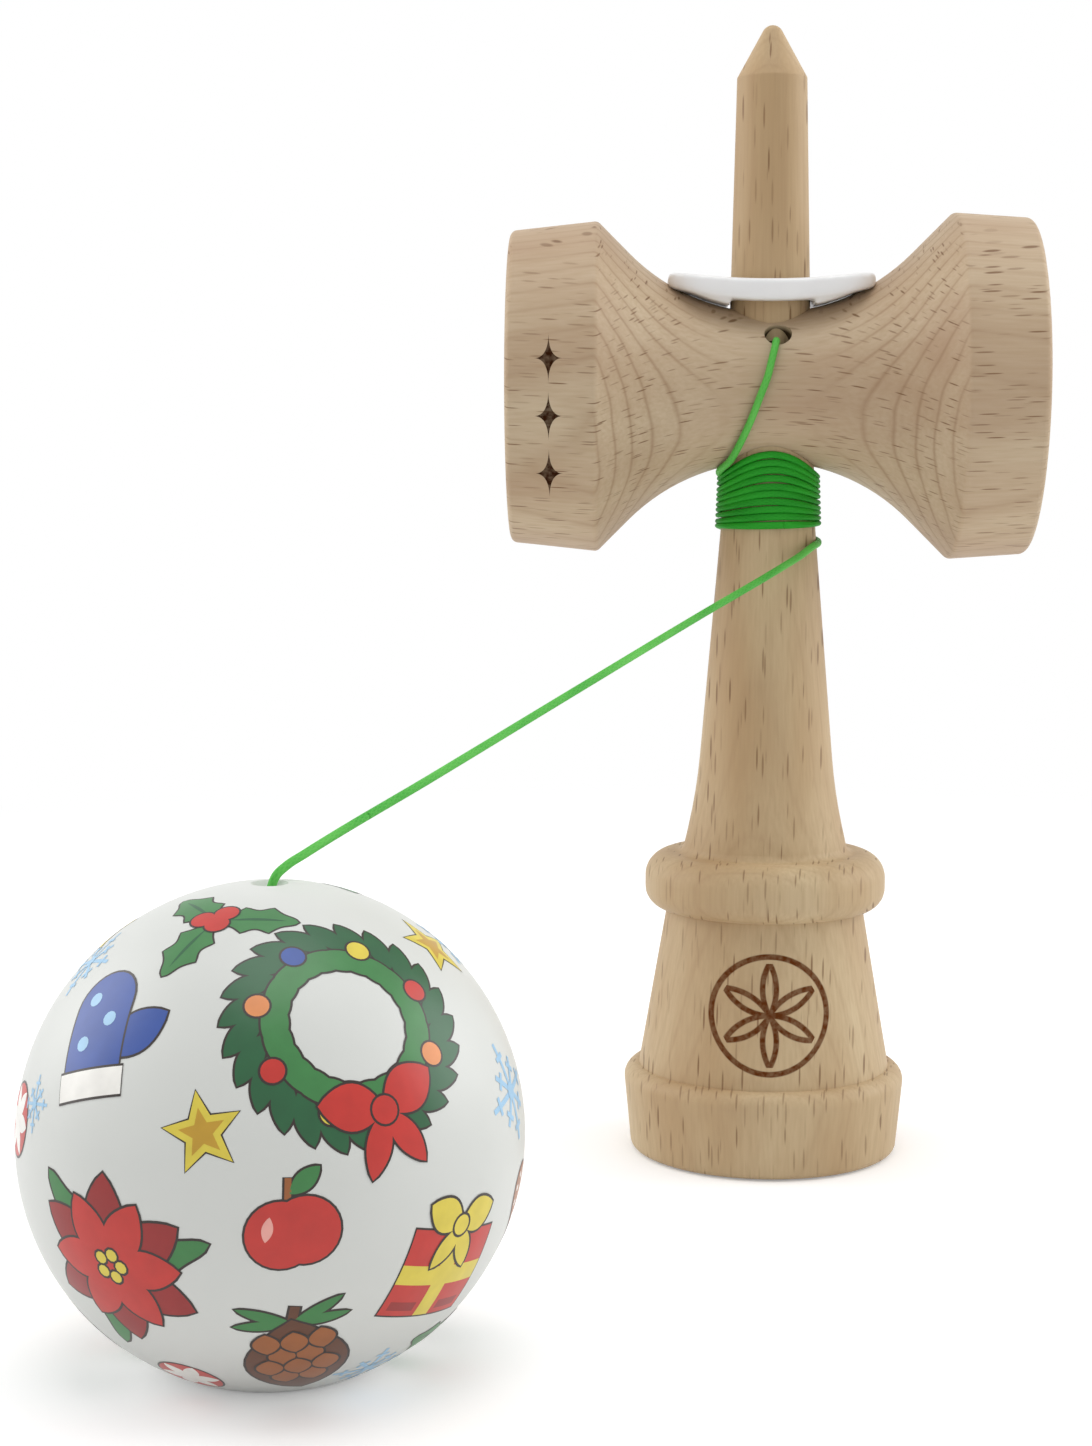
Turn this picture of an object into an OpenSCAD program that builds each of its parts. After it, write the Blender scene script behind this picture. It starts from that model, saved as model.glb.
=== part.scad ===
// Kendama: a turned wooden ken with a cross piece of two cups, a saddle on its
// waist, and a ball tied to it by a cord that is wound round the grip.
// Millimetres, +Z up. The origin is the centre of the ken's foot, on the table.
// +X runs along the cross piece to its big cup, and -Y faces the viewer.

/* [Ken] */
// Height of the ken, from the table to the tip of the spike
ken_h = 171; // [165:0.5:190]
// Diameter of the foot ring at the table, before its edge is rounded
foot_low_d = 41; // [40:0.2:46]
// Diameter of the foot ring at its top, before its edge is rounded
foot_d = 43.6; // [42:0.2:48]
// Height of the foot ring
foot_h = 13.2; // [10:0.2:16]
// Rounding of the foot ring's lower edge
foot_edge = 1.1; // [0.3:0.1:1.2]
// Rounding of the foot ring's upper edge
foot_round = 2.3; // [0.5:0.1:3]
// Diameter of the lower cone where it leaves the foot ring
cone_d = 38.6; // [34:0.2:40]
// Diameter of the lower cone where it meets the collar
neck_d = 30.2; // [26:0.2:33]
// Height of the collar's underside
collar_z = 37.7; // [30:0.1:42]
// Thickness of the collar
collar_h = 8.7; // [8:0.1:13]
// Diameter of the collar
collar_d = 36.9; // [34:0.1:42]
// Rounding of the collar's edges
collar_round = 3.8; // [0.5:0.1:4]
// Diameter of the grip where it rises from the collar
grip_low_d = 25.4; // [22:0.2:28]
// Diameter of the grip at its bend
grip_bend_d = 21.2; // [18:0.2:22]
// Height of the bend where the grip's flare turns into its taper
grip_bend_z = 55.7; // [52:0.5:62]
// Radius of the curve at the bend
grip_bend_r = 80; // [20:1:90]
// Fillet between the collar and the grip
grip_fillet = 1.4; // [0.4:0.1:2]
// Diameter of the grip at its top, under the winding
grip_top_d = 14.4; // [13.6:0.1:15]
// Height of the top of the grip
grip_top_z = 96; // [94:0.5:97]
// Diameter of the spike where it leaves the cross piece
spike_d = 12.1; // [11:0.1:13]
// Diameter of the spike where its point begins
spike_end_d = 10.5; // [9:0.1:11]
// Rounding of the edge where the spike's point begins
shoulder_round = 0.6; // [0.2:0.1:2]
// Half angle of the spike's point
point_angle = 29; // [22:1:40]
// Rounding of the spike's tip
point_round = 1.65; // [0.8:0.05:2.5]
// Diameter of the base cup's mouth
base_mouth_d = 35.4; // [32:0.2:37]
// Depth of the base cup
base_depth = 7.5; // [6:0.1:9]

/* [Cross piece] */
// Height of the cross piece's axis
cross_z = 117.4; // [116.5:0.1:122]
// Diameter of the waist
waist_d = 22.4; // [20:0.2:23]
// Radius of the hollow curve on both sides of the waist
flare_r = 30; // [26:0.5:34]
// Steepest angle of the flares
flare_angle = 45; // [40:1:48]
// Greatest diameter of the big cup
big_d = 51.8; // [50:0.2:56]
// Diameter of the big cup at its rim
big_rim_d = 50.2; // [48:0.2:51]
// Distance from the ken's axis to the big cup's rim
big_reach = 38.7; // [36:0.1:44]
// Greatest diameter of the small cup
small_d = 49.6; // [48:0.2:54]
// Diameter of the small cup at its rim
small_rim_d = 46.8; // [45:0.2:48]
// Distance from the ken's axis to the small cup's rim
small_reach = 39.1; // [36:0.1:44]
// Width of the rims
lip_w = 2.3; // [2:0.1:4]
// Depth of the big cup
big_depth = 11.5; // [9:0.1:13]
// Depth of the small cup
small_depth = 10; // [8:0.1:12]
// Rounding of the rims' edges
rim_round = 1; // [0.3:0.1:1.1]
// Rounding of the cups' widest edges
edge_round = 1; // [0.3:0.1:2]

/* [String holes] */
// Diameter of the string hole in the cross piece
cross_hole_d = 4.1; // [3:0.1:4.6]
// Angle of that hole above the horizontal
cross_hole_angle = 43; // [35:1:48]
// Distance of that hole from the middle of the waist
cross_hole_x = 0.8; // [0:0.1:1]
// Diameter of the string hole through the ken
ken_hole_d = 2.2; // [1.8:0.1:2.6]
// Height of the hole through the ken, above the cross piece's axis
ken_hole_rise = 5.6; // [5:0.1:6]
// Diameter of the pocket for the knot at the back of the ken
pocket_d = 4.6; // [4:0.1:5]
// Depth of that pocket
pocket_depth = 4.2; // [3.8:0.1:5]

/* [Saddle] */
// Length of the saddle along the cross piece
saddle_l = 30.6; // [26:0.2:34]
// Width of the saddle
saddle_w = 18; // [16:0.2:20]
// Thickness of the saddle's plate in its middle
saddle_t = 2.9; // [2:0.1:3.2]
// Radius of the bow of the plate's top
saddle_bow = 100; // [80:1:120]
// Radius of the bow of its underside, which thins its ends
saddle_under = 55; // [50:1:70]
// Rounding of the plate's corners, seen from above
saddle_corner = 5; // [1:0.5:7]
// Height of the plate's middle above the waist
saddle_rise = 1.5; // [1:0.1:2]
// Distance between the saddle's feet
feet_gap = 12.8; // [12:0.2:15]
// Width of the feet
feet_w = 16.6; // [10:0.2:16.6]

/* [Ball] */
// Diameter of the ball
ball_d = 60; // [58:0.5:62]
// Place of the ball beside the ken, along the cross piece
ball_x = -63; // [-70:0.5:-60]
// Place of the ball in front of the ken
ball_y = -95.5; // [-100:0.5:-90]
// Diameter of the spike hole
spike_hole_d = 22; // [20:0.1:24]
// Depth of the spike hole's straight wall
spike_hole_depth = 34; // [30:0.5:36]
// Bevel at the mouth of the spike hole
mouth_bevel = 0.9; // [0.5:0.1:1.5]
// Diameter of the chamber that holds the bead
chamber_d = 10; // [9.4:0.1:12]
// Diameter of the string hole at the top
string_hole_d = 2.8; // [2.4:0.1:3.2]
// Bevel at the mouth of the string hole
string_bevel = 0.9; // [0.4:0.1:1.2]
// Diameter of the bead
bead_d = 8; // [7:0.1:8.6]
// Diameter of the hole through the bead
bead_hole_d = 2; // [1.8:0.1:2.4]

/* [Cord] */
// Diameter of the cord
cord_d = 1.1; // [1:0.05:1.4]
// Number of turns in the winding
wind_turns = 10; // [5:1:10]
// Height of the winding's lowest strand
wind_z = 96.5; // [96:0.1:97]
// Rise of the winding at the sides, where the cross piece comes low
wind_side_h = 7.9; // [7.6:0.1:8]
// Rise of the winding at the front and back
wind_front_h = 11.6; // [8.4:0.1:11.6]
// Least gap to leave between the drawn turns
wind_gap = 0.43; // [0.41:0.01:0.45]
// Diameter of the knots
knot_d = 3.4; // [3:0.1:3.6]

/* [Clearances] */
// Gap between the cross piece and the taper under it, and the saddle's ends on it
seat_gap = 0.05; // [0.03:0.01:0.1]
// Gap around the spike in the saddle, and under the saddle's feet
saddle_gap = 0.3; // [0.2:0.05:0.5]
// Gap between the cord and what it lies on
cord_gap = 0.15; // [0.1:0.05:0.3]
// Gap between the bead and the roof of its chamber
bead_gap = 0.3; // [0.2:0.05:0.5]
// Height of the knot under the bead above the spike hole, which it leaves free
knot_gap = 0.5; // [0.3:0.1:1]
// Length left out of the cord on each side of a bend that moves
bend_gap = 0.7; // [0.6:0.05:1]

/* [Hidden] */
$fn = 96;

// Extra length of a cut past the face that it opens
over = 1;
// Sides of a cord's tube, and of the thinner tube of the winding
cord_sides = 8;
wind_sides = 6;
// Rings in one turn of the winding and of the loose turn
rings_per_turn = 24;
turn_rings = 24;
// Points drawn between two points of a cord's route
route_steps = 3;
// Length of the pieces that a straight cord is drawn in
ring_step = 4;

beech = "#c9ae8a";
plastic_white = "#f1f1ef";
lacquer_white = "#f4f3f0";
bead_red = "#b5342c";
cord_green = "#22a02f";

collar_top = collar_z + collar_h;

// The roundings of the foot ring and the collar, limited by the ledges that they end on
ledge_rest = 0.1;
foot_ledge = (foot_d - cone_d) / 2 - ledge_rest;
collar_under = (collar_d - neck_d) / 2 - ledge_rest;
collar_ledge = (collar_d - grip_low_d) / 2 - grip_fillet;
foot_top_round = min(foot_round, foot_ledge * foot_h / (foot_h + (foot_d - foot_low_d) / 2));
collar_low_round = min(collar_round, collar_under, collar_h / 2 - ledge_rest);
collar_top_round = min(collar_round, collar_ledge, collar_h / 2 - ledge_rest);

cross_top = cross_z + waist_d / 2;
cord_r = cord_d / 2;

// The point of the spike, worked out from its rounded tip
point_apex = ken_h + point_round * (1 / sin(point_angle) - 1);
point_z = point_apex - spike_end_d / 2 / tan(point_angle);

// The ball stands on the rim of its spike hole
mouth_r = spike_hole_d / 2 + mouth_bevel;
ball_z = sqrt(pow(ball_d / 2, 2) - pow(mouth_r, 2));
ball_top = ball_z + ball_d / 2;
ball_cap = ball_d / 2 - ball_z;
hole_roof = mouth_bevel + spike_hole_depth;
bead_knot_z = hole_roof + knot_gap + knot_d / 2;
bead_z = bead_knot_z + knot_d / 2 + sqrt(pow(bead_d / 2, 2) - pow(bead_hole_d / 2, 2));
chamber_roof = bead_z + bead_d / 2 + bead_gap;
ken_hole_z = cross_z + ken_hole_rise;
anchor_y = spike_d / 2 - pocket_depth + knot_d / 2 + cord_gap;

// The tube of the winding is drawn thin enough to leave its gap between the turns
wind_strand_d = wind_side_h / wind_turns - wind_gap;

// The winding and the loose turn under it both begin on the left side of the grip
turn_start = 180;

// Route of the cord from the ken's string hole to the top of the winding
lead_route = [
    [0, -5.4, 123], [0.2, -7, 123.2], [0.4, -8.5, 123.7], [0.45, -9.9, 124],
    [0.2, -10.8, 123], [-0.3, -11.45, 121], [-0.9, -11.9, 118.6], [-1.8, -11.95, 116.2],
    [-3.2, -11.1, 112.4], [-4.5, -9.4, 109.4], [-6, -6.8, 106.5], [-7.5, -3.2, 104.9]
];

// Route of the cord from the grip to the ball's string hole
span_route = [
    [6.5, -5, 93.6], [-10.9, -27.6, 84.7], [-28.2, -50.2, 75.9], [-45.6, -72.9, 67.1], [-63, -95.5, 58.4]
];

function unit(v) = v / norm(v);
function last(list) = list[len(list) - 1];

// Radius of the ken at a height on the grip or on the seat of the cross piece
function grip_r(z) =
    z < grip_top_z
        ? lookup(z, [[grip_bend_z, grip_bend_d / 2], [grip_top_z, grip_top_d / 2]])
        : lookup(z, [[grip_top_z, grip_top_d / 2], [cross_top, spike_d / 2], [point_z, spike_end_d / 2]]);

// A point beside the grip at an angle and a height, where the cord's centre lies
function wrap_point(angle, z) =
    let (r = grip_r(z) + cord_gap + cord_r)
    [r * cos(angle), r * sin(angle), z];

// Half the angle between the two edges at a corner, and the unit vector that halves it
function corner_half(a, p, b) = acos(unit(a - p) * unit(b - p)) / 2;
function corner_mid(a, p, b) = unit(unit(a - p) + unit(b - p));
function turns_left(a, p, b) = (p[0] - a[0]) * (b[1] - p[1]) - (p[1] - a[1]) * (b[0] - p[0]) > 0;
function near(list, i, step) = list[(i + step + len(list)) % len(list)];
function xy(p) = [p[0], p[1]];

// Outline with round corners: each point is [x, y, radius], in anticlockwise order
module round_outline(points) {
    n = len(points);
    difference() {
        union() {
            polygon([
                for (i = [0 : n - 1])
                    let (
                        a = xy(near(points, i, -1)),
                        p = xy(points[i]),
                        b = xy(near(points, i, 1)),
                        cut = points[i][2] / tan(corner_half(a, p, b))
                    )
                    each points[i][2] == 0 ? [p] : [p + cut * unit(a - p), p + cut * unit(b - p)]
            ]);
            corner_circles(points, true);
        }
        corner_circles(points, false);
    }
}

// Parts of circles that fill the outer corners of an outline, or hollow its inner ones
module corner_circles(points, outer) {
    for (i = [0 : len(points) - 1]) {
        a = xy(near(points, i, -1));
        p = xy(points[i]);
        b = xy(near(points, i, 1));
        r = points[i][2];
        half = corner_half(a, p, b);
        centre = p + r / sin(half) * corner_mid(a, p, b);
        cut = r / tan(half);
        if (r > 0 && turns_left(a, p, b) == outer)
            intersection() {
                translate(centre)
                    circle(r);
                polygon([centre, p + cut * unit(a - p), p, p + cut * unit(b - p)]);
            }
    }
}

// Hollow of a cup whose rim lies in the plane z = 0 and which opens upwards
module cup_hollow(mouth_d, depth, lip_round) {
    dish_r = (pow(mouth_d / 2, 2) + pow(depth, 2)) / (2 * depth);
    dish_z = dish_r - depth;
    lip = [sqrt(pow(dish_r + lip_round, 2) - pow(dish_z + lip_round, 2)), -lip_round];
    touch = [0, dish_z] + (lip - [0, dish_z]) * dish_r / (dish_r + lip_round);
    rotate_extrude() {
        intersection() {
            translate([0, dish_z])
                circle(dish_r);
            translate([0, -depth - over])
                square([mouth_d, depth + 2 * over]);
        }
        difference() {
            polygon([[0, touch[1]], touch, lip, [lip[0], over], [0, over]]);
            translate(lip)
                circle(lip_round);
        }
    }
}

// Direction of a route at each of its points
function headings(route) = [
    for (i = [0 : len(route) - 1])
        unit(route[min(i + 1, len(route) - 1)] - route[max(i - 1, 0)])
];

// A smooth curve through the points of a route
function smooth(route) = concat(
    [
        for (i = [0 : len(route) - 2])
            let (
                a = route[max(i - 1, 0)],
                b = route[i],
                c = route[i + 1],
                d = route[min(i + 2, len(route) - 1)]
            )
            for (k = [0 : route_steps - 1])
                let (t = k / route_steps)
                b + t * (c - a) / 2 + t * t * (a - 2.5 * b + 2 * c - d / 2)
                    + t * t * t * (1.5 * b - a / 2 - 1.5 * c + d / 2)
    ],
    [last(route)]
);

// A straight line cut into pieces of about one length
function dense(route, step) = concat(
    [
        for (i = [0 : len(route) - 2])
            let (n = ceil(norm(route[i + 1] - route[i]) / step))
            for (k = [0 : n - 1])
                route[i] + (route[i + 1] - route[i]) * k / n
    ],
    [last(route)]
);

// A tube of triangles along a list of points
module tube(points, r, sides) {
    n = len(points);
    along = headings(points);
    side_0 = unit(cross(along[0], abs(along[0][2]) < 0.7 ? [0, 0, 1] : [1, 0, 0]));
    across = [
        for (
            i = 0, s = side_0;
            i < n;
            i = i + 1, s = i < n ? unit(s - along[i] * (s * along[i])) : s
        ) s
    ];
    rings = [
        for (i = [0 : n - 1])
            for (k = [0 : sides - 1])
                points[i]
                    + r * cos(360 * k / sides) * across[i]
                    + r * sin(360 * k / sides) * cross(along[i], across[i])
    ];
    walls = [
        for (i = [0 : n - 2])
            for (k = [0 : sides - 1])
                let (a = i * sides + k, b = i * sides + (k + 1) % sides)
                each [[a, a + sides, b], [b, a + sides, b + sides]]
    ];
    end_0 = [for (k = [1 : sides - 2]) [0, k, k + 1]];
    end_1 = [for (k = [1 : sides - 2]) (n - 1) * sides * [1, 1, 1] + [0, k + 1, k]];
    polyhedron(rings, concat(walls, end_0, end_1));
}

// The wound turns run down clockwise, from the left side of the grip
wind_rings = wind_turns * rings_per_turn;
wind_turn_points = [
    for (i = [0 : wind_rings])
        let (
            angle = turn_start - 360 * i / rings_per_turn,
            rise = wind_side_h + (wind_front_h - wind_side_h) * pow(sin(angle), 2)
        )
        wrap_point(angle, wind_z + rise * (1 - i / wind_rings))
];
wind_start = wind_turn_points[0] + wind_strand_d * unit(wind_turn_points[0] - wind_turn_points[1]);
wind_points = concat(
    [wind_start],
    wind_turn_points,
    [last(wind_turn_points) + wind_strand_d * unit(last(wind_turn_points) - wind_turn_points[wind_rings - 1])]
);
wind_least_gap = min([
    for (i = [0 : wind_rings - rings_per_turn / 2])
        for (j = [i + rings_per_turn / 2 : min(i + 3 * rings_per_turn / 2, wind_rings)])
            norm(wind_turn_points[i] - wind_turn_points[j]) - wind_strand_d
]);
echo(wind_least_gap = wind_least_gap);

// The loose turn goes round the back of the grip and ends where the cord leaves it
turn_first = turn_start - 2 * asin(2 * wind_strand_d / grip_top_d);
turn_first_z = wind_z - wind_strand_d / 2;
turn_last = atan2(span_route[0][1], span_route[0][0]);
turn_last_z = span_route[0][2];
turn_count = ceil((turn_first - turn_last) / 360 * turn_rings);
turn_points = [
    for (i = [0 : turn_count])
        let (s = i / turn_count)
        wrap_point(turn_first + (turn_last - turn_first) * s, turn_first_z + (turn_last_z - turn_first_z) * s)
];

module ken() {
    color(beech)
        difference() {
            union() {
                rotate_extrude()
                    round_outline([
                        [0, 0, 0],
                        [foot_low_d / 2, 0, foot_edge],
                        [foot_d / 2, foot_h, foot_top_round],
                        [cone_d / 2, foot_h, 0],
                        [neck_d / 2, collar_z, 0],
                        [collar_d / 2, collar_z, collar_low_round],
                        [collar_d / 2, collar_top, collar_top_round],
                        [grip_low_d / 2, collar_top, grip_fillet],
                        [grip_bend_d / 2, grip_bend_z, grip_bend_r],
                        [grip_top_d / 2, grip_top_z, 0],
                        [spike_d / 2, cross_top, 0],
                        [spike_end_d / 2, point_z, shoulder_round],
                        [point_round * cos(point_angle), ken_h - point_round * (1 - sin(point_angle)), 0],
                        [0, ken_h - point_round, 0]
                    ]);
                translate([0, 0, ken_h - point_round])
                    sphere(point_round);
            }
            mirror([0, 0, 1])
                cup_hollow(base_mouth_d, base_depth, rim_round);
            translate([0, 0, ken_hole_z])
                rotate([90, 0, 0]) {
                    cylinder(d = ken_hole_d, h = 2 * spike_d, center = true);
                    translate([0, 0, -spike_d])
                        cylinder(d = pocket_d, h = spike_d / 2 + pocket_depth);
                }
        }
}

// Half outline of the cross piece's outside, along its axis
module sarado_outline() {
    flare_x = flare_r * sin(flare_angle);
    flare_y = waist_d / 2 + flare_r * (1 - cos(flare_angle));
    big_x = flare_x + (big_d / 2 - flare_y) / tan(flare_angle);
    small_x = flare_x + (small_d / 2 - flare_y) / tan(flare_angle);
    difference() {
        round_outline([
            [-small_reach, 0, 0],
            [big_reach, 0, 0],
            [big_reach, big_rim_d / 2, rim_round],
            [big_x, big_d / 2, edge_round],
            [flare_x, flare_y, 0],
            [-flare_x, flare_y, 0],
            [-small_x, small_d / 2, edge_round],
            [-small_reach, small_rim_d / 2, rim_round]
        ]);
        translate([0, waist_d / 2 + flare_r])
            circle(flare_r);
    }
}

module sarado() {
    color(beech)
        translate([0, 0, cross_z])
            difference() {
                rotate([90, 0, 90])
                    rotate_extrude()
                        rotate(90)
                            mirror([0, 1])
                                sarado_outline();
                translate([big_reach, 0, 0])
                    rotate([0, 90, 0])
                        cup_hollow(big_rim_d - 2 * lip_w, big_depth, rim_round);
                translate([-small_reach, 0, 0])
                    rotate([0, -90, 0])
                        cup_hollow(small_rim_d - 2 * lip_w, small_depth, rim_round);
                translate([0, 0, -cross_z])
                    spike_bore();
                translate([cross_hole_x, 0, 0])
                    rotate([90 - cross_hole_angle, 0, 0])
                        cylinder(d = cross_hole_d, h = waist_d);
            }
}

// Tapered bore of the cross piece, around the taper of the ken
module spike_bore() {
    bore_low = cross_z - waist_d;
    bore_high = cross_z + waist_d;
    rotate_extrude()
        polygon([
            [0, bore_low],
            [grip_r(bore_low) + seat_gap, bore_low],
            [grip_r(cross_top) + seat_gap, cross_top],
            [grip_r(cross_top) + seat_gap, bore_high],
            [0, bore_high]
        ]);
}

module saddle() {
    plate_z = cross_top + saddle_rise;
    bow_z = plate_z + saddle_t + saddle_bow;
    flare_z = cross_top + flare_r;
    color(plastic_white)
        difference() {
            intersection() {
                rotate([90, 0, 0])
                    linear_extrude(saddle_w, center = true)
                        difference() {
                            translate([0, plate_z + saddle_under])
                                circle(saddle_under);
                            translate([0, bow_z])
                                circle(saddle_bow);
                        }
                linear_extrude(bow_z)
                    round_outline([
                        [-saddle_l / 2, -saddle_w / 2, saddle_corner],
                        [saddle_l / 2, -saddle_w / 2, saddle_corner],
                        [saddle_l / 2, saddle_w / 2, saddle_corner],
                        [-saddle_l / 2, saddle_w / 2, saddle_corner]
                    ]);
            }
            cylinder(r = grip_r(plate_z) + saddle_gap, h = ken_h);
            waist_room();
        }
    color(plastic_white)
        saddle_feet(bow_z, flare_z);
}

// The waist of the cross piece with its gap, which the ends of the saddle's plate rest on
module waist_room() {
    translate([0, 0, cross_z])
        rotate([0, 90, 0])
            rotate_extrude()
                difference() {
                    translate([0, -saddle_l / 2 - over])
                        square([waist_d / 2 + saddle_l / 2, saddle_l + 2 * over]);
                    translate([waist_d / 2 + flare_r, 0])
                        circle(flare_r - seat_gap);
                }
}

// Feet under the saddle's plate, cut to the hollow of the waist
module saddle_feet(bow_z, flare_z) {
    difference() {
        rotate([90, 0, 0])
            linear_extrude(feet_w, center = true)
                difference() {
                    intersection() {
                        translate([0, flare_z])
                            circle(flare_r - saddle_gap);
                        translate([-saddle_l / 2 + saddle_corner / 2, cross_top])
                            square([saddle_l - saddle_corner, saddle_rise + saddle_t]);
                    }
                    translate([0, bow_z])
                        circle(saddle_bow + saddle_t / 2);
                    translate([-feet_gap / 2, cross_z])
                        square([feet_gap, waist_d]);
                }
        cylinder(r = grip_r(cross_top) + saddle_gap, h = ken_h);
    }
}

module ball() {
    color(lacquer_white)
        translate([ball_x, ball_y, 0])
            difference() {
                translate([0, 0, ball_z])
                    sphere(d = ball_d);
                translate([0, 0, -ball_cap - over])
                    cylinder(d = spike_hole_d, h = ball_cap + over + hole_roof);
                translate([0, 0, -over])
                    cylinder(r1 = mouth_r + over, r2 = spike_hole_d / 2, h = mouth_bevel + over);
                translate([0, 0, hole_roof - over])
                    cylinder(d = chamber_d, h = over + chamber_roof - hole_roof);
                cylinder(d = string_hole_d, h = ball_d);
                translate([0, 0, ball_top - string_bevel])
                    cylinder(
                        d1 = string_hole_d,
                        d2 = string_hole_d + 2 * (string_bevel + over),
                        h = string_bevel + over
                    );
            }
}

module bead() {
    color(bead_red)
        translate([ball_x, ball_y, bead_z])
            difference() {
                sphere(d = bead_d);
                cylinder(d = bead_hole_d, h = 2 * bead_d, center = true);
            }
}

// A knot is a ball of cord, drawn as one round lump
module knot() {
    color(cord_green)
        sphere(d = knot_d);
}

module bead_knot() {
    translate([ball_x, ball_y, bead_knot_z])
        knot();
}

module anchor_knot() {
    translate([0, anchor_y, ken_hole_z])
        knot();
}

module string_anchor() {
    knot_end = [0, anchor_y, ken_hole_z];
    color(cord_green)
        tube(dense([knot_end, lead_route[0]], ring_step), cord_r, cord_sides);
}

module string_lead() {
    color(cord_green)
        tube(smooth(concat(lead_route, [wind_start])), cord_r, cord_sides);
}

module string_winding() {
    color(cord_green)
        tube(wind_points, wind_strand_d / 2, wind_sides);
}

module string_turn() {
    color(cord_green)
        tube(turn_points, cord_r, cord_sides);
}

module string_span() {
    start = span_route[0];
    end = last(span_route);
    trimmed = concat(
        [start + bend_gap * unit(span_route[1] - start)],
        [for (i = [1 : len(span_route) - 2]) span_route[i]],
        [end - bend_gap * unit(end - span_route[len(span_route) - 2])]
    );
    color(cord_green)
        tube(dense(trimmed, ring_step), cord_r, cord_sides);
}

module string_tail() {
    top = last(span_route)[2] - bend_gap;
    color(cord_green)
        tube(dense([[ball_x, ball_y, top], [ball_x, ball_y, bead_knot_z]], ring_step), cord_r, cord_sides);
}

ken();
sarado();
saddle();
ball();
bead();
bead_knot();
anchor_knot();
string_anchor();
string_lead();
string_winding();
string_turn();
string_span();
string_tail();
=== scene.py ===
# %% [markdown]
# # A kendama, dressed in Blender
# The toy is a turned wooden ken with a cross piece of two cups, a white plastic saddle,
# and a lacquered ball on a green cord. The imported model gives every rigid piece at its
# real size, so this lesson only adds what a lathe and a drill don't leave behind:
# the finish of each surface, the cord as real cord, and the print on the ball.
# Everything is in metres. Lists that describe the toy are in millimetres, as on a drawing.

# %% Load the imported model
import math
from functools import partial

import bmesh
import bpy
import numpy as np
from mathutils import Matrix, Vector


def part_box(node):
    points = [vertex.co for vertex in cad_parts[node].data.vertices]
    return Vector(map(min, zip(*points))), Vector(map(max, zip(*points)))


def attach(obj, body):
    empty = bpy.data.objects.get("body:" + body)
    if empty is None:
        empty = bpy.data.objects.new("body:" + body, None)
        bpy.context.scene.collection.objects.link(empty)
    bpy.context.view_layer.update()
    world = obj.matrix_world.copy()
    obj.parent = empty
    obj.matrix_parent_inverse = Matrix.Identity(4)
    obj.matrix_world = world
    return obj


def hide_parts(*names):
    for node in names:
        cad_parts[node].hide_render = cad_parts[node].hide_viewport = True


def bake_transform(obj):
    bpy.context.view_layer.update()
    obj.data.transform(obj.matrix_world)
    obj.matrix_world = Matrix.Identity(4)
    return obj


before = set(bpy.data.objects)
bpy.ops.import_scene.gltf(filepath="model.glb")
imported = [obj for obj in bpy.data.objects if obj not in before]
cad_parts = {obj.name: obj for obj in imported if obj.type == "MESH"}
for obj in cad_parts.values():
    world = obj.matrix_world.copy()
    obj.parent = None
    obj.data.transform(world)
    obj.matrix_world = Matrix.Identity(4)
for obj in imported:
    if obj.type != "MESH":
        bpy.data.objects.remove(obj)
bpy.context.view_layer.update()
scene = bpy.context.scene
MM = 0.001
print("nodes:", sorted(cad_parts))

# %% [markdown]
# ## Camera
# A photograph fixes one point of view. The camera stands where the picture was taken from:
# about 39 cm in front of the toy, level with the winding, tipped down by six degrees.
# The picture is higher than wide, so the sensor's 36 mm lie along its height.

# %% Camera
CAMERA_AT = Vector((-20.2, -387.65, 108.3)) * MM
CAMERA_DOWN = 6.21
CAMERA_LEFT = 2.02
SENSOR = 36
LENS = 62.98
bpy.ops.object.camera_add(
    location=CAMERA_AT,
    rotation=(math.radians(90 - CAMERA_DOWN), 0, math.radians(CAMERA_LEFT)),
)
camera = bpy.context.object
camera.data.sensor_width = SENSOR
camera.data.lens = LENS
scene.camera = camera
print("camera at", tuple(camera.location))

# %% [markdown]
# ## The cord's route
# The cord is one length of braided nylon, 1.1 mm thick. It is knotted inside the ken,
# comes out through the hole in the cross piece, runs down to the grip, goes round it in
# close turns, makes one loose turn, and then goes straight to the ball, where a bead holds it.
# A cord has no shape of its own, so its centreline comes first: points listed where
# it runs free, a loop where it is wound, and one smooth curve through them all.

# %% Free stretches of the route
CORD_R = 0.55
LEAD = [
    (0.1, -6.3, 123.1), (0.2, -7, 123.2), (0.4, -8.5, 123.7), (0.45, -9.9, 124),
    (0.2, -10.8, 123), (-0.3, -11.45, 121), (-0.9, -11.9, 118.6), (-1.8, -11.95, 116.2),
    (-3.2, -11.1, 112.4), (-4.5, -9.4, 109.4), (-6, -6.8, 106.5), (-7.5, -3.2, 104.9),
]
SPAN = [
    (6.5, -5, 93.55), (4.75, -7.25, 92.4), (1.25, -11.8, 90.55), (-10.9, -27.6, 84.6),
    (-28.2, -50.2, 75.9), (-45.6, -72.9, 67.1), (-59.5, -90.95, 60.15),
]
BALL_HOLE = [
    (-61.3, -93.3, 59.15), (-62.4, -94.75, 58.1), (-62.9, -95.35, 56.6),
    (-63, -95.5, 54.5), (-63, -95.5, 38),
]
print("points chosen by hand:", len(LEAD + SPAN + BALL_HOLE))

# %% [markdown]
# ## The winding
# Ten turns lie side by side on the grip, pulled tight, so each strand is pressed flat against
# the wood. They fill the room under the waist of the cross piece, which is lower at the sides,
# where the strands squeeze each other thinner and stand further out. A little wave keeps them
# from looking machined.

# %% Turns round the grip
# Radius of the ken against its height, along the grip and under the cross piece
GRIP_Z = [55.7, 96, 128.6]
GRIP_R = [10.6, 7.2, 6.05]

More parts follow.
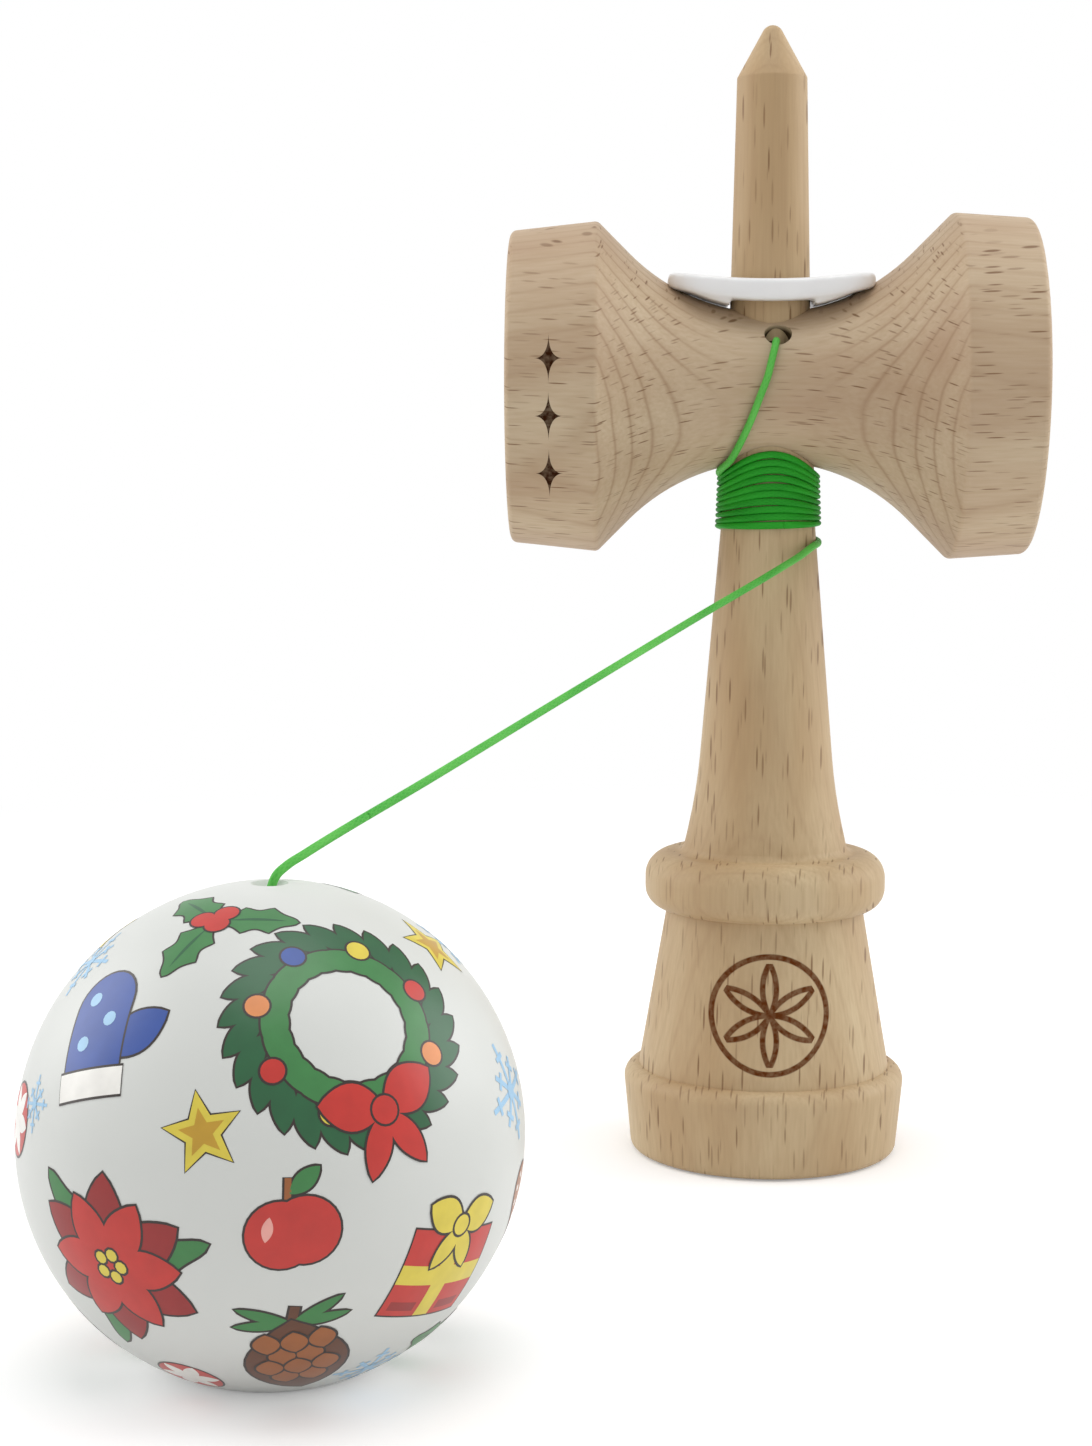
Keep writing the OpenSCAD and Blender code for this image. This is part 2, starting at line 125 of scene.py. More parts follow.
WIND_TURNS = 10
WIND_STEPS = 24
WIND_Z = 96.5
WIND_SIDE_H = 7.9
WIND_FRONT_H = 11.6
WIND_PRESS = 0.6
WAVE = 0.1
WAVE_QUICK = 0.37
WAVE_SLOW = 0.061


def rise(angle):
    """Height of the winding at an angle round the grip."""
    return WIND_SIDE_H + (WIND_FRONT_H - WIND_SIDE_H) * math.sin(math.radians(angle)) ** 2


def squeeze(angle):
    """Shares of its radius that a wound strand keeps outwards and up the grip."""
    upwards = min(1, rise(angle) / WIND_TURNS / (2 * CORD_R))
    return WIND_PRESS / upwards, upwards


def polar(r, angle):
    """Point at a distance and an angle from the middle."""
    return r * math.cos(math.radians(angle)), r * math.sin(math.radians(angle))


def beside_grip(angle, z, press=1):
    """Point at an angle and a height where the cord, round or pressed, lies against the ken."""
    r = np.interp(z, GRIP_Z, GRIP_R) + CORD_R * press
    return (*polar(r, angle), z)


winding = []
for i in range(WIND_TURNS * WIND_STEPS + 1):
    angle = 180 - 360 * i / WIND_STEPS
    wave = WAVE * math.sin(WAVE_QUICK * i) * math.sin(WAVE_SLOW * i + 1)
    z = WIND_Z + rise(angle) * (1 - i / WIND_TURNS / WIND_STEPS) + wave
    winding.append(beside_grip(angle, z, squeeze(angle)[0]))
print("points on the winding:", len(winding))

# %% [markdown]
# ## The loose turn
# Under the winding the cord goes once more round the back of the grip and comes out at the
# right, where it leaves for the ball. Points on the grip that drop steadily are enough for that.

# %% Loose turn under the winding
LOOSE_STEPS = 12
LOOSE_END = -37.5
loose = []
for i in range(1, LOOSE_STEPS):
    share = i / LOOSE_STEPS
    angle = 180 + (LOOSE_END - 180) * share
    loose.append(beside_grip(angle, WIND_Z + (SPAN[0][2] - WIND_Z) * share, WIND_PRESS))
print("loose turn drops", round(WIND_Z - SPAN[0][2], 1), "mm")

# %% [markdown]
# ## One smooth curve
# A cord has no corners. A Catmull-Rom curve goes through every point that it is given, so
# the lead still meets its hole and the turns still lie on the grip. The way at each point is
# taken mostly from the nearer neighbour, because the curve would otherwise swing out where
# a long straight meets a tight bend.

# %% One smooth curve
CORD_STEP = 0.45


def smooth(route, step):
    """Points about a step apart on a smooth curve through all points of a route."""
    points = [Vector(p) for p in route]
    gaps = [(b - a).length for a, b in zip(points, points[1:])]
    slopes = [(b - a) / gap for a, b, gap in zip(points, points[1:], gaps)]
    ways = [slopes[0]]
    for i in range(1, len(gaps)):
        ways.append((slopes[i - 1] * gaps[i] + slopes[i] * gaps[i - 1]) / (gaps[i - 1] + gaps[i]))
    ways.append(slopes[-1])
    line = []
    for i, gap in enumerate(gaps):
        parts = max(2, round(gap / step))
        for k in range(parts):
            t = k / parts
            share = t * t * (3 - 2 * t)
            bend = t * (1 - t) ** 2 * ways[i] - t * t * (1 - t) * ways[i + 1]
            line.append((1 - share) * points[i] + share * points[i + 1] + gap * bend)
    return line + [points[-1]]


def lengths_along(line, start=0):
    """Length of a line up to each of its points."""
    return np.cumsum([start] + [(b - a).length for a, b in zip(line, line[1:])])


route = smooth(LEAD + winding + loose + SPAN + BALL_HOLE, CORD_STEP)
run = lengths_along(route)
print("cord from the ken's hole to the bead:", round(run[-1], 1), "mm")

# %% [markdown]
# ## The cord as a tube
# A bevelled curve would do for a wire, but a braid needs a coordinate that runs along the
# cord. So the tube is built ring by ring, each turned as little as possible from the last.
# The whole cord gets its rings at once and is then cut, because its stretches move with
# different bodies.

# %% Rings round the route
CORD_SIDES = 12


def rings_along(line, radius):
    """Rings of points round a line, each turned as little as possible from the last."""
    corners = [polar(radius, 360 * k / CORD_SIDES) for k in range(CORD_SIDES)]
    side = Vector((1, 0, 0))
    rings = []
    for i, p in enumerate(line):
        ahead = (line[min(i + 1, len(line) - 1)] - line[max(i - 1, 0)]).normalized()
        side = (side - ahead * side.dot(ahead)).normalized()
        across = ahead.cross(side)
        rings.append([p + u * side + v * across for u, v in corners])
    return rings


route_rings = rings_along(route, CORD_R)
print("rings:", len(route_rings))

# %% [markdown]
# ## Pressed strands
# A cord that is pulled tight round a stick goes flat against it. The rings of the wound turns
# are squeezed towards their centreline, outwards and up the grip by their own shares. The
# squeeze fades at both ends, so that the free cord is round again.

# %% Press the wound rings
PRESS_RINGS = 12
LOOSEN_RINGS = 40
# The span starts on the grip, this many degrees and millimetres before the cord leaves it
SPAN_LAP = 18
SPAN_RISE = 0.25
SPAN_STARTS = beside_grip(LOOSE_END + SPAN_LAP, SPAN[0][2] + SPAN_RISE)


def nearest(point):
    """Number of the ring that lies nearest a point."""
    return min(range(len(route)), key=lambda i: (route[i] - Vector(point)).length)


wound = range(nearest(winding[0]), nearest(winding[-1]))
pressed = range(wound.start, nearest(SPAN_STARTS))
for i in pressed:
    out = Vector((route[i].x, route[i].y, 0)).normalized()
    _, upwards = squeeze(math.degrees(math.atan2(out.y, out.x)))
    upwards += (1 - upwards) * min(1, max(0, i - wound.stop) / LOOSEN_RINGS)
    ease = min(1, (i - pressed.start) / PRESS_RINGS, (pressed.stop - i) / PRESS_RINGS)
    for k, p in enumerate(route_rings[i]):
        d = p - route[i]
        d -= ease * (1 - WIND_PRESS / upwards) * d.dot(out) * out
        d.z *= 1 - ease * (1 - upwards)
        route_rings[i][k] = route[i] + d
print("pressed rings:", len(pressed))

# %% [markdown]
# ## From rings to a mesh
# Neighbouring rings are joined by four-sided faces. The tube's UV map says how far round and
# how far along the cord each corner lies, which is all that the braid needs later.

# %% Tube through rings


def tube(name, line, rings, start_mm=0, closed=False):
    """Mesh tube through rings in millimetres, with u round it and v along it in its UV map."""
    mesh = bpy.data.meshes.new(name)
    build = bmesh.new()
    uv = build.loops.layers.uv.new("Braid")
    verts = [[build.verts.new(p * MM) for p in ring] for ring in rings]
    stops = line + line[:1] if closed else line
    along = lengths_along(stops, start_mm)
    for a in range(len(stops) - 1):
        b = (a + 1) % len(rings)
        for k in range(CORD_SIDES):
            n = (k + 1) % CORD_SIDES
            face = build.faces.new((verts[a][k], verts[a][n], verts[b][n], verts[b][k]))
            face.smooth = True
            corners = ((k, a), (k + 1, a), (k + 1, a + 1), (k, a + 1))
            for loop, (u, v) in zip(face.loops, corners):
                loop[uv].uv = (u / CORD_SIDES, along[v])
    if not closed:
        build.faces.new(verts[0][::-1])
        build.faces.new(verts[-1])
    build.to_mesh(mesh)
    build.free()
    piece = bpy.data.objects.new(name, mesh)
    scene.collection.objects.link(piece)
    return piece


print("faces round the cord:", CORD_SIDES)

# %% [markdown]
# ## Cutting the cord
# Four pieces are cut from it: what is wound, the loose turn, the free span, and the tail
# that goes into the ball. Each cut lies where both neighbours move with the same body.

# %% Four pieces of cord
CORD_NAMES = ("cord_wound", "cord_turn", "cord_span", "cord_tail")
TURN_STARTS = winding[-WIND_STEPS // 3]
TAIL_STARTS = (-53, -82.5, 63.4)
cuts = [0] + [nearest(p) for p in (TURN_STARTS, SPAN_STARTS, TAIL_STARTS)] + [len(route) - 1]
cords = []
for name, first, last in zip(CORD_NAMES, cuts, cuts[1:]):
    kept = slice(first, last + 1)
    cords.append(tube(name, route[kept], route_rings[kept], run[first]))
    print(name, round(run[last] - run[first], 1), "mm")
cord_wound, cord_turn, cord_span, cord_tail = cords

# %% [markdown]
# ## Knots
# An overhand knot at each end stops the cord, one in a pocket at the back of the ken and
# one under the bead. Pulled tight it is a small lump of three crossing strands, which is
# a trefoil curve. A short straight piece joins the knot in the ken to the rest of the cord.

# %% Knots
KNOT_STEPS = 72
KNOT_SCALE = 0.36
KNOT_DEPTH = 1.6
KNOT_STRAND_R = 0.52
STUB_MIDDLE = (0, -2, 123)
STUB_END = (0, -6.1, 123.1)


def knot(name, centre, turn):
    """Tight overhand knot: a tube along a trefoil curve, turned into place."""
    line = []
    for i in range(KNOT_STEPS):
        t = 2 * math.pi * i / KNOT_STEPS
        trefoil = Vector((
            math.sin(t) + 2 * math.sin(2 * t),
            math.cos(t) - 2 * math.cos(2 * t),
            -KNOT_DEPTH * math.sin(3 * t),
        ))
        line.append(turn @ trefoil * KNOT_SCALE + Vector(centre))
    return tube(name, line, rings_along(line, KNOT_STRAND_R), closed=True)


def middle(node):
    """Middle of a CAD node's box, in millimetres."""
    low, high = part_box(node)
    return (low + high) / 2 / MM


upright = Matrix.Identity(3)
lying = Matrix.Rotation(math.radians(90), 3, "X")
ken_knot = knot("ken_knot", middle("anchor_knot"), lying)
ball_knot = knot("ball_knot", middle("bead_knot"), upright)
stub = smooth([middle("anchor_knot"), STUB_MIDDLE, STUB_END], CORD_STEP)
cord_stub = tube("cord_stub", stub, rings_along(stub, CORD_R))
print("knots measure", ken_knot.dimensions / MM, ball_knot.dimensions / MM)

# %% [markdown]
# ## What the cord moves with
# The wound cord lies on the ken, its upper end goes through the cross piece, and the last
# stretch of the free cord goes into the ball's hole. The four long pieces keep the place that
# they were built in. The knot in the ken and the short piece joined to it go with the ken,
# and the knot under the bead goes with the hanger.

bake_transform(cord_wound)
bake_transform(cord_turn)
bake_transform(cord_span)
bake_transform(cord_tail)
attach(ken_knot, "ken")
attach(cord_stub, "ken")
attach(ball_knot, "hanger")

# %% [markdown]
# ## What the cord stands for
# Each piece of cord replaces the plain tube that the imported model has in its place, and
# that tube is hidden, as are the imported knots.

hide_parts("string_lead", "string_winding")
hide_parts("string_turn")
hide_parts("string_span")
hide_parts("string_tail")
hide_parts("string_anchor")
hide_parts("anchor_knot")
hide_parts("bead_knot")

# %% [markdown]
# ## Helpers for materials
# Colours are written as the sRGB hex values that a paint program shows, and one function
# turns them into the linear values that a shader works with. Another adds a node, with its
# fields and its inputs, and each material gets it bound to its own nodes. Patterns read Object
# coordinates, which stay on the toy when it is moved, in millimetres.

# %% Helpers for materials


def linear(code):
    """Linear colour of an sRGB hex code."""
    channels = [int(code[i : i + 2], 16) / 255 for i in (1, 3, 5)]
    light = [c / 12.92 if c <= 0.04045 else ((c + 0.055) / 1.055) ** 2.4 for c in channels]
    return (*light, 1.0)


def add_node(tree, kind, *values, **named):
    """Adds a node and gives its first output.

    Its kind may end in an operation. Values fill its inputs in order. A name with a capital
    is an input, another is a field. A socket is linked, and any other value is set.
    """
    kind, *operation = kind.split()
    node = tree.nodes.new("ShaderNode" + kind)
    if operation:
        node.operation = operation[0]
    for name, value in named.items():
        if name[0].islower():
            setattr(node, name, value)
    inputs = list(zip([s for s in node.inputs if s.enabled], values))
    inputs += [(node.inputs[n.replace("_", " ")], v) for n, v in named.items() if n[0].isupper()]
    for socket, value in inputs:
        if isinstance(value, bpy.types.NodeSocket):
            tree.links.new(value, socket)
        else:
            socket.default_value = value
    return next((s for s in node.outputs if s.enabled), None)


def new_material(name):
    """Material with no nodes, and the function that adds a node to it."""
    material = bpy.data.materials.new(name)
    material.use_nodes = True
    material.node_tree.nodes.clear()
    return material, partial(add_node, material.node_tree)


def in_mm(add, axis=(0, 0, 0)):
    """Object coordinates in millimetres from an axis."""
    place = add("TexCoord").node.outputs["Object"]
    return add("Mapping", place, Scale=(1 / MM,) * 3, Location=-Vector(axis))


def dress(piece, material):
    """Gives a piece one material, in place of any that it has."""
    piece.data.materials.clear()
    piece.data.materials.append(material)


WHITE = linear("#ffffff")
print("white in linear light:", WHITE)

# %% [markdown]
# ## Braided nylon
# Kendama cord is a round braid of fine nylon yarns that cross in small diamonds. Nylon takes
# dye well, so the green is strong, with a soft sheen. The braid is read from the tube's own
# UV map: u goes once round it, v is in millimetres along it. The tops of the yarns are painted
# lighter than the gaps, as painted highlight and shade. The wound cord is painted darker, as
# painted shade between its tight turns, so one function makes both.

# %% Cord materials
YARN_PITCH = 1.1
YARN_STARTS = 6
DYE_PATCH = (1, 11, 1)
DYE_SPREAD = (0.3, 0.85)
CROWN_PAINTED_LIGHT = 0.7


def nylon(name, low, high):
    """Braided nylon between a colour in the gaps of the braid and a lighter one on the yarns, as
    painted shade and highlight.
    """
    # Nylon: a soft sheen, and a dye that is deeper in some stretches than in others
    material, add = new_material(name)
    braid = add("UVMap", uv_map="Braid")
    circling, along, _ = add("SeparateXYZ", braid).node.outputs
    yarns = []
    for way in (1, -1):
        slope = add("Math MULTIPLY", along, way / YARN_PITCH)
        spiral = add("Math MULTIPLY_ADD", circling, YARN_STARTS, slope)
        yarns.append(add("Math PINGPONG", spiral, 0.5))
    weave = add("Math MAXIMUM", *yarns)
    # Painted highlight on the tops of the yarns, which leaves painted shade in the gaps of the
    # braid
    painted_crown_light = add("Math MULTIPLY", weave, CROWN_PAINTED_LIGHT)
    patch = add("VectorMath DIVIDE", braid, DYE_PATCH)
    dye = add("MapRange", add("TexNoise", patch, Scale=1, Detail=2), *DYE_SPREAD)
    shade = add("Mix", dye, linear(low), linear(high), data_type="RGBA")
    shade = add("Mix", painted_crown_light, shade, linear(high), data_type="RGBA")
    relief = add("Bump", Height=weave, Strength=0.4, Distance=0.08 * MM)
    yarn = add("BsdfPrincipled", shade, Normal=relief, Roughness=0.55, Specular_IOR_Level=0.2)
    add("OutputMaterial", yarn)
    return material


nylon_free = nylon("braided_nylon", "#3aa338", "#74d060")
# A darker copy for the wound turns: painted shade between the tight turns
wound_nylon_shaded = nylon("braided_nylon_painted_shade", "#0b7a14", "#2fb02d")
for piece in cords + [cord_stub, ken_knot, ball_knot]:
    dress(piece, nylon_free)
# The wound turns take the darker copy, as painted shade
for piece, first in ((cord_wound, cuts[0]), (cord_turn, cuts[1])):
    piece.data.materials.append(wound_nylon_shaded)
    for face in piece.data.polygons:
        face.material_index = int(first + face.index // CORD_SIDES in wound)
print("cord materials:", nylon_free.name, wound_nylon_shaded.name)

# %% [markdown]
# ## Beech
# The ken and the cross piece are turned from pale beech and sanded, with no varnish. Beech
# shows three things: thin darker lines where one year's growth ends, short dark flecks where
# its rays are cut, and a fine fibre along the grain. A ray is a ribbon that lies along the
# grain and points at the middle of the tree, so it is a dash on one side of a turned piece
# and a broad mirror on the next. Cutting real ribbons and rings with the turned surface
# gives the arches on the flares by itself, so the pattern is solid and not a painted skin.

# %% Growth rings
RING_W = 2.4
PITH_AWAY = 80
SWAY = 3
SWAY_SIZE = (60, 18, 18)
RING_FADE = 6
CORE_FAINT = 0.1
END_FAINT = 0.4
# Darkness through one year, which starts and ends in the line between two years
YEAR_LINE = 0.6
YEAR = ((0.08, 0.1), (0.55, 0), (0.84, 0.25), (0.95, 1))


def growth_rings(add, wood, core, reach, depth):
    """Dark late wood, one ring a year round a far pith, faint in the core and past a reach."""
    swaying = add("VectorMath DIVIDE", wood, SWAY_SIZE)
    sway = add("TexNoise", swaying, Scale=1, Detail=2)
    out = add("VectorMath MULTIPLY_ADD", wood, (0, 1, 1), (0, -PITH_AWAY, 0))
    away = add("VectorMath LENGTH", out)
    bent = add("Math MULTIPLY_ADD", sway, SWAY, away)
    years = add("Math DIVIDE", bent, RING_W)
    late = add("ValToRGB", add("Math FRACT", years))
    ramp = late.node.color_ramp.elements
    ramp[0].color = ramp[1].color = (*[YEAR_LINE] * 3, 1)
    for position, level in YEAR:
        ramp.new(position).color = (level, level, level, 1)
    far = add("Math ABSOLUTE", add("SeparateXYZ", wood))
    inner = add("MapRange", far, *core, CORE_FAINT * depth, depth)
    outer = add("MapRange", far, reach, reach + RING_FADE, 1, END_FAINT)
    shown = add("Math MULTIPLY", inner, outer)
    return add("Math MULTIPLY", late, shown)


print("rings across a cup:", round(50 / RING_W))

# %% [markdown]
# ## Rays
# A ray in beech is a ribbon a few millimetres long and high and a few tenths thick. A cell
# texture has one point in each cell. Stretched along the grain and flattened, the nearness of
# that point is such a ribbon, and each cell's random colour says how dark it is.

# %% Rays
RAY_CORE = 0.15
RAY_EDGE = 0.3
RAY_FAINT = 0.2


def rays(add, wood, cell):
    """Dark ribbons along the grain and towards the pith, some strong and some faint."""
    cells = add("VectorMath DIVIDE", wood, cell)
    near = add("TexVoronoi", cells, Scale=1)
    fleck = add("MapRange", near, RAY_CORE, RAY_EDGE, 1, 0, interpolation_type="SMOOTHSTEP")
    chance = add("SeparateColor", near.node.outputs["Color"])
    strength = add("MapRange", chance, To_Min=RAY_FAINT)
    return add("Math MULTIPLY", fleck, strength)


print("a ray fades from", RAY_CORE, "to", RAY_EDGE, "of its cell")

# %% [markdown]
# ## Solid beech
# Rings, rays and fibre are laid over the wood's own colour, which changes slowly from pale to
# deep along a board. The ken and the cross piece are cut from different boards, so their
# colours and the sizes of their rays differ. Dark rays also lie a little deeper, because
# sanding takes more of the soft tissue in them.

# %% Solid beech
# Real fibre is finer than a pixel, so it is drawn as coarse as it needs to show
FIBRE_SIZE = (14, 0.5, 0.5)
BOARD_SIZE = (50, 14, 14)
FIBRE_SPREAD = (0.35, 0.75)
BOARD_SPREAD = (0.3, 0.7)
FIBRE_COLOUR = "#a98c68"
RING_COLOUR = "#8f6b4a"
RAY_COLOUR = "#6e4a26"
FIBRE_DEPTH = 0.35
RAY_SINK = 0.7


def grain(add, place, tip, sawn):
    """Coordinates whose X runs along the grain, tipped out of the piece's own, then rolled."""
    along = add("Mapping", place, Rotation=(0, math.radians(tip), 0))
    return add("Mapping", along, Rotation=(math.radians(sawn), 0, 0))


def beech(add, wood, pale, deep, ring, cell, ray_depth):
    """Colour and relief of solid beech with rings and rays, and its grain along X."""
    ray = rays(add, wood, cell)
    mark = add("Math MULTIPLY", ray, ray_depth)
    fine = add("VectorMath DIVIDE", wood, FIBRE_SIZE)
    fibre = add("TexNoise", fine, Scale=1, Detail=4)
    streak = add("MapRange", fibre, *FIBRE_SPREAD, 0, FIBRE_DEPTH)
    broad = add("VectorMath DIVIDE", wood, BOARD_SIZE)
    board = add("TexNoise", broad, Scale=1, Detail=2)
    tone = add("MapRange", board, *BOARD_SPREAD)
    colour = add("Mix", tone, linear(pale), linear(deep), data_type="RGBA")
    for share, code in ((streak, FIBRE_COLOUR), (ring, RING_COLOUR), (mark, RAY_COLOUR)):
        colour = add("Mix", share, colour, linear(code), data_type="RGBA")
    height = add("Math MULTIPLY_ADD", ray, -RAY_SINK, fibre)
    relief = add("Bump", Height=height, Strength=0.25, Distance=0.1 * MM)
    return colour, relief


print("fibre is", FIBRE_SIZE[1], "mm thick")

# %% [markdown]
# ## Burnt marks
# Marks are burnt into the front of the ken's cone and of the left cup with a laser, which
# browns the wood to a fraction of a millimetre: a rosette on the ken and three stars on the
# cup. Both are worked out from the place on the wood, so they follow its form. Char soaks up
# light, so the sheen of the sanded wood ends where a mark starts.

# %% Burning
BURN_EDGE = 0.08
BURN_PATCH = 0.8
BURN_SPREAD = (0.35, 0.65)
BURN_FAINT = 0.8
SANDED_SHEEN = 0.35
CHAR_SHEEN = 0.03


def burnt(add, colour, place, mark, skin, brown):
    """Colour and sheen of wood browned under a mark, further to the front than a skin."""
    _, depth, _ = add("SeparateXYZ", place).node.outputs
    front = add("Math LESS_THAN", depth, skin)
    uneven = add("TexNoise", place, Scale=1 / BURN_PATCH, Detail=2)
    heat = add("MapRange", uneven, *BURN_SPREAD, BURN_FAINT, 1)
    struck = add("Math MULTIPLY", mark, front)
    share = add("Math MULTIPLY", struck, heat)
    sheen = add("MapRange", share, To_Min=SANDED_SHEEN, To_Max=CHAR_SHEEN)
    return add("Mix", share, colour, linear(brown), data_type="RGBA"), sheen


def stroke(add, offset, half):
    """One inside half a line's width from zero, falling to nothing over a soft edge."""
    size = add("Math ABSOLUTE", offset)
    return add("MapRange", size, half - BURN_EDGE, half + BURN_EDGE, 1, 0)


def distance(add, x, y):
    """Distance of a point from the middle of a drawing."""
    point = add("CombineXYZ", x, y)
    return add("VectorMath LENGTH", point)


print("a burnt edge is", 2 * BURN_EDGE, "mm soft")

# %% [markdown]
# ## Rosette
# An old compass drawing: each of six petals is the lens between two arcs, as wide as the circle
# that they meet in. The angle round the middle is folded into a twelfth of a turn, so a single
# arc, mirrored and turned, draws them all, and a ring closes them in.

# %% Rosette on the ken
ROSETTE_R = 7.6
ROSETTE_Z = 24.3
ROSETTE_LINE = 0.42
ROSETTE_RIM = 1.13 * ROSETTE_R


def rosette(add, place):
    """Six petals of compass arcs in a ring."""
    across, _, height = add("SeparateXYZ", place).node.outputs
    up = add("Math SUBTRACT", height, ROSETTE_Z)
    away = distance(add, across, up)
    angle = add("Math ARCTAN2", across, up)
    turn = add("Math PINGPONG", angle, math.radians(30))
    x = add("Math MULTIPLY", away, add("Math COSINE", turn))
    y = add("Math MULTIPLY", away, add("Math SINE", turn))
    middle_x, middle_y = polar(ROSETTE_R, -60)
    from_x = add("Math SUBTRACT", x, middle_x)
    from_y = add("Math SUBTRACT", y, middle_y)
    arc = add("Math SUBTRACT", distance(add, from_x, from_y), ROSETTE_R)
    inside = add("Math LESS_THAN", away, ROSETTE_R)
    petals = add("Math MULTIPLY", stroke(add, arc, ROSETTE_LINE), inside)
    rim = add("Math SUBTRACT", away, ROSETTE_RIM)
    return add("Math MAXIMUM", petals, stroke(add, rim, ROSETTE_LINE))


KEN_H = 171
BEECH_ROUGHNESS = 0.55

# Sanded beech: a dull sheen and no gloss
ken_beech, add = new_material("beech_ken")
place = in_mm(add)
wood = grain(add, place, tip=90, sawn=8)
ring = growth_rings(add, wood, core=(0, 1), reach=KEN_H, depth=0.14)
colour, relief = beech(add, wood, "#cdb792", "#b89a73", ring,
                       cell=(8, 4.4, 0.64), ray_depth=0.75)
colour, sheen = burnt(add, colour, place, rosette(add, place), skin=0, brown="#5f300f")
sanded = add("BsdfPrincipled", colour, Normal=relief, Specular_IOR_Level=sheen,
             Roughness=BEECH_ROUGHNESS)
add("OutputMaterial", sanded)
dress(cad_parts["ken"], ken_beech)
print(ken_beech.name, "has", len(ken_beech.node_tree.nodes), "nodes")

# %% [markdown]
# ## Stars
# A four-pointed star is the curve on which the roots of both distances from its middle add up
# to one. The height is folded into three rows. The marks stop just under the cup's outside,
# because a mask that is only drawn from the front would also show inside the hollow.

# %% Stars on the cross piece
STAR_AT = (-32.7, 112.8)
STAR_PITCH = 8.2
STAR_SIZE = (2.1, 3.7)
CROSS_Z = 117.4
CUP_SKIN_R = 23.6


def star_row(add, place):
    """Three stars above each other, each with two pairs of hollow sides."""
    x, _, z = add("SeparateXYZ", place).node.outputs
    across = add("Math SUBTRACT", x, STAR_AT[0])
    up = add("Math SUBTRACT", z, STAR_AT[1] - CROSS_Z)
    rows = add("Math DIVIDE", up, STAR_PITCH)
    row = add("Clamp", add("Math ROUND", rows), -1, 1)
    over = add("Math MULTIPLY_ADD", row, -STAR_PITCH, up)
    arms = []
    for way, size in zip((across, over), STAR_SIZE):
        part = add("Math DIVIDE", way, size)
        length = add("Math ABSOLUTE", part)
        arms.append(add("Math SQRT", length))
    return add("Math LESS_THAN", add("Math ADD", *arms), 1)


def cup_skin(add, place):
    """Depth of the front of a cup's outside, just under its surface, at a height."""
    _, _, z = add("SeparateXYZ", place).node.outputs
    square = add("Math MULTIPLY", z, z)
    room = add("Math SUBTRACT", CUP_SKIN_R**2, square)
    return add("Math MULTIPLY", add("Math SQRT", room), -1)


print("stars stand", STAR_PITCH, "mm apart")

# %% [markdown]
# ## String hole
# The wall of the string hole is painted dark brown, as painted shade inside the hole. The hole
# slants up through the waist, so its wall is found by the distance from its axis, a little
# under the surface of the waist.

# %% Beech of the cross piece
HOLE_X = 0.8
HOLE_UP = math.radians(43)
HOLE_R = 2.2
WAIST_SKIN_R = 11
WAIST_FADE = 0.8
# Dark brown painted on the wall of the string hole as painted shade
HOLE_SHADE_BROWN = "#38230f"


def painted_hole_shade(add, colour, place):
    """Colour of wood with the wall of the string hole painted dark, as painted shade."""
    x, y, z = add("SeparateXYZ", place).node.outputs
    aside = add("Math SUBTRACT", x, HOLE_X)
    lift = add("Math MULTIPLY", z, math.cos(HOLE_UP))
    square_on = add("Math MULTIPLY_ADD", y, math.sin(HOLE_UP), lift)
    near = add("Math LESS_THAN", distance(add, aside, square_on), HOLE_R)
    out = distance(add, y, z)
    under = add("MapRange", out, WAIST_SKIN_R - WAIST_FADE, WAIST_SKIN_R, 1, 0)
    share = add("Math MULTIPLY", near, under)
    return add("Mix", share, colour, linear(HOLE_SHADE_BROWN), data_type="RGBA")


# Sanded beech again, from a greyer board
cross_beech, add = new_material("beech_cross")
place = in_mm(add, (0, 0, CROSS_Z))
wood = grain(add, place, tip=0, sawn=-24)
ring = growth_rings(add, wood, core=(6, 16), reach=24, depth=0.5)
colour, relief = beech(add, wood, "#ccb89b", "#b4987c", ring,
                       cell=(6.2, 3.4, 0.42), ray_depth=0.82)
stars, skin = star_row(add, place), cup_skin(add, place)
colour, sheen = burnt(add, colour, place, stars, skin, brown="#301402")
# Painted shade on the wall of the string hole
colour = painted_hole_shade(add, colour, place)
sanded = add("BsdfPrincipled", colour, Normal=relief, Specular_IOR_Level=sheen,
             Roughness=BEECH_ROUGHNESS)
add("OutputMaterial", sanded)
dress(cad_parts["sarado"], cross_beech)
print(cross_beech.name, "has", len(cross_beech.node_tree.nodes), "nodes")

# %% [markdown]
# ## Saddle
# The saddle is one moulding of white plastic with full round edges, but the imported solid's
# are sharp. A copy of it is merged, remeshed evenly, and then smoothed, which melts each edge
# into the round that a mould leaves and hardly moves the broad faces.

# %% Copy of the saddle's solid
bpy.ops.object.select_all(action="DESELECT")
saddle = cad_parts["saddle"].copy()
saddle.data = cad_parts["saddle"].data.copy()
saddle.name = "saddle_moulding"
saddle.parent = None
for key in list(saddle.keys()):
    del saddle[key]
scene.collection.objects.link(saddle)
bpy.context.view_layer.objects.active = saddle
saddle.select_set(True)
bpy.ops.object.mode_set(mode="EDIT")
bpy.ops.mesh.select_all(action="SELECT")
bpy.ops.mesh.remove_doubles(threshold=1e-6)
bpy.ops.object.mode_set(mode="OBJECT")
print("saddle measures", saddle.dimensions / MM)

# %% [markdown]
# ## Rounds of the moulding
# The voxel remesh gives small even faces, so that every pass of the smoothing moves an edge
# by the same amount all along it. Smoothing also shrinks the piece a little, so it is
# fattened again afterwards.

